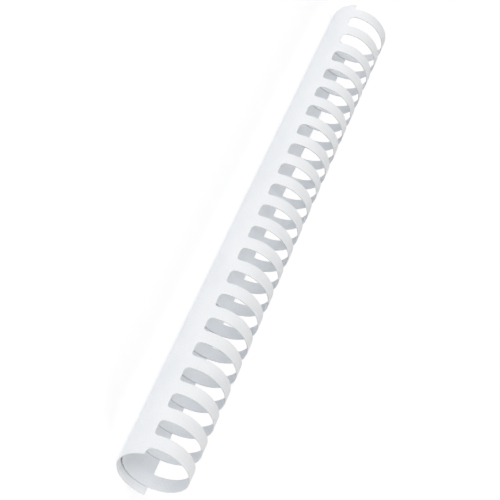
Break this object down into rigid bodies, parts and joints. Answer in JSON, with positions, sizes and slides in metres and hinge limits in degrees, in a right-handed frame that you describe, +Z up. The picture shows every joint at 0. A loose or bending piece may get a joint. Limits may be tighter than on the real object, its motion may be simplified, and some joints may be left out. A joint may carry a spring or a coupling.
{
  "type": "plastic binding comb",
  "caption": "Curled plastic binding comb: a long spine with a row of ring fingers that tuck inside it and flex open to take punched sheets.",
  "frame": {"origin": "on the surface the comb lies on, under the middle of its length and of its depth", "axes": "+X along the comb, +Y towards the free edge of the spine, +Z up; the root line of the rings faces -Y"},
  "size_m": [0.2994, 0.0302, 0.0306],
  "materials": {
    "white_pvc": "smooth satin white PVC strip, faintly cool, with a soft sheen"
  },
  "bodies": {
    "spine": {"spine": "white_pvc"},
    "ring_01": {"ring_01": "white_pvc"},
    "ring_02": {"ring_02": "white_pvc"},
    "ring_03": {"ring_03": "white_pvc"},
    "ring_04": {"ring_04": "white_pvc"},
    "ring_05": {"ring_05": "white_pvc"},
    "ring_06": {"ring_06": "white_pvc"},
    "ring_07": {"ring_07": "white_pvc"},
    "ring_08": {"ring_08": "white_pvc"},
    "ring_09": {"ring_09": "white_pvc"},
    "ring_10": {"ring_10": "white_pvc"},
    "ring_11": {"ring_11": "white_pvc"},
    "ring_12": {"ring_12": "white_pvc"},
    "ring_13": {"ring_13": "white_pvc"},
    "ring_14": {"ring_14": "white_pvc"},
    "ring_15": {"ring_15": "white_pvc"},
    "ring_16": {"ring_16": "white_pvc"},
    "ring_17": {"ring_17": "white_pvc"},
    "ring_18": {"ring_18": "white_pvc"},
    "ring_19": {"ring_19": "white_pvc"},
    "ring_20": {"ring_20": "white_pvc"},
    "ring_21": {"ring_21": "white_pvc"}
  },
  "joints": [
    {"name": "ring_01_open", "type": "hinge", "parent": "spine", "child": "ring_01", "pos_m": [-0.14288, -0.0133, 0.02255], "axis": [1, 0, 0], "range_deg": [0, 70], "stiffness_Nm_per_rad": 0.008},
    {"name": "ring_02_open", "type": "hinge", "parent": "spine", "child": "ring_02", "pos_m": [-0.12859, -0.0133, 0.02255], "axis": [1, 0, 0], "range_deg": [0, 70], "stiffness_Nm_per_rad": 0.008},
    {"name": "ring_03_open", "type": "hinge", "parent": "spine", "child": "ring_03", "pos_m": [-0.1143, -0.0133, 0.02255], "axis": [1, 0, 0], "range_deg": [0, 70], "stiffness_Nm_per_rad": 0.008},
    {"name": "ring_04_open", "type": "hinge", "parent": "spine", "child": "ring_04", "pos_m": [-0.10001, -0.0133, 0.02255], "axis": [1, 0, 0], "range_deg": [0, 70], "stiffness_Nm_per_rad": 0.008},
    {"name": "ring_05_open", "type": "hinge", "parent": "spine", "child": "ring_05", "pos_m": [-0.08572, -0.0133, 0.02255], "axis": [1, 0, 0], "range_deg": [0, 70], "stiffness_Nm_per_rad": 0.008},
    {"name": "ring_06_open", "type": "hinge", "parent": "spine", "child": "ring_06", "pos_m": [-0.07144, -0.0133, 0.02255], "axis": [1, 0, 0], "range_deg": [0, 70], "stiffness_Nm_per_rad": 0.008},
    {"name": "ring_07_open", "type": "hinge", "parent": "spine", "child": "ring_07", "pos_m": [-0.05715, -0.0133, 0.02255], "axis": [1, 0, 0], "range_deg": [0, 70], "stiffness_Nm_per_rad": 0.008},
    {"name": "ring_08_open", "type": "hinge", "parent": "spine", "child": "ring_08", "pos_m": [-0.04286, -0.0133, 0.02255], "axis": [1, 0, 0], "range_deg": [0, 70], "stiffness_Nm_per_rad": 0.008},
    {"name": "ring_09_open", "type": "hinge", "parent": "spine", "child": "ring_09", "pos_m": [-0.02857, -0.0133, 0.02255], "axis": [1, 0, 0], "range_deg": [0, 70], "stiffness_Nm_per_rad": 0.008},
    {"name": "ring_10_open", "type": "hinge", "parent": "spine", "child": "ring_10", "pos_m": [-0.01429, -0.0133, 0.02255], "axis": [1, 0, 0], "range_deg": [0, 70], "stiffness_Nm_per_rad": 0.008},
    {"name": "ring_11_open", "type": "hinge", "parent": "spine", "child": "ring_11", "pos_m": [0, -0.0133, 0.02255], "axis": [1, 0, 0], "range_deg": [0, 70], "stiffness_Nm_per_rad": 0.008},
    {"name": "ring_12_open", "type": "hinge", "parent": "spine", "child": "ring_12", "pos_m": [0.01429, -0.0133, 0.02255], "axis": [1, 0, 0], "range_deg": [0, 70], "stiffness_Nm_per_rad": 0.008},
    {"name": "ring_13_open", "type": "hinge", "parent": "spine", "child": "ring_13", "pos_m": [0.02857, -0.0133, 0.02255], "axis": [1, 0, 0], "range_deg": [0, 70], "stiffness_Nm_per_rad": 0.008},
    {"name": "ring_14_open", "type": "hinge", "parent": "spine", "child": "ring_14", "pos_m": [0.04286, -0.0133, 0.02255], "axis": [1, 0, 0], "range_deg": [0, 70], "stiffness_Nm_per_rad": 0.008},
    {"name": "ring_15_open", "type": "hinge", "parent": "spine", "child": "ring_15", "pos_m": [0.05715, -0.0133, 0.02255], "axis": [1, 0, 0], "range_deg": [0, 70], "stiffness_Nm_per_rad": 0.008},
    {"name": "ring_16_open", "type": "hinge", "parent": "spine", "child": "ring_16", "pos_m": [0.07144, -0.0133, 0.02255], "axis": [1, 0, 0], "range_deg": [0, 70], "stiffness_Nm_per_rad": 0.008},
    {"name": "ring_17_open", "type": "hinge", "parent": "spine", "child": "ring_17", "pos_m": [0.08572, -0.0133, 0.02255], "axis": [1, 0, 0], "range_deg": [0, 70], "stiffness_Nm_per_rad": 0.008},
    {"name": "ring_18_open", "type": "hinge", "parent": "spine", "child": "ring_18", "pos_m": [0.10001, -0.0133, 0.02255], "axis": [1, 0, 0], "range_deg": [0, 70], "stiffness_Nm_per_rad": 0.008},
    {"name": "ring_19_open", "type": "hinge", "parent": "spine", "child": "ring_19", "pos_m": [0.1143, -0.0133, 0.02255], "axis": [1, 0, 0], "range_deg": [0, 70], "stiffness_Nm_per_rad": 0.008},
    {"name": "ring_20_open", "type": "hinge", "parent": "spine", "child": "ring_20", "pos_m": [0.12859, -0.0133, 0.02255], "axis": [1, 0, 0], "range_deg": [0, 70], "stiffness_Nm_per_rad": 0.008},
    {"name": "ring_21_open", "type": "hinge", "parent": "spine", "child": "ring_21", "pos_m": [0.14288, -0.0133, 0.02255], "axis": [1, 0, 0], "range_deg": [0, 70], "stiffness_Nm_per_rad": 0.008}
  ]
}
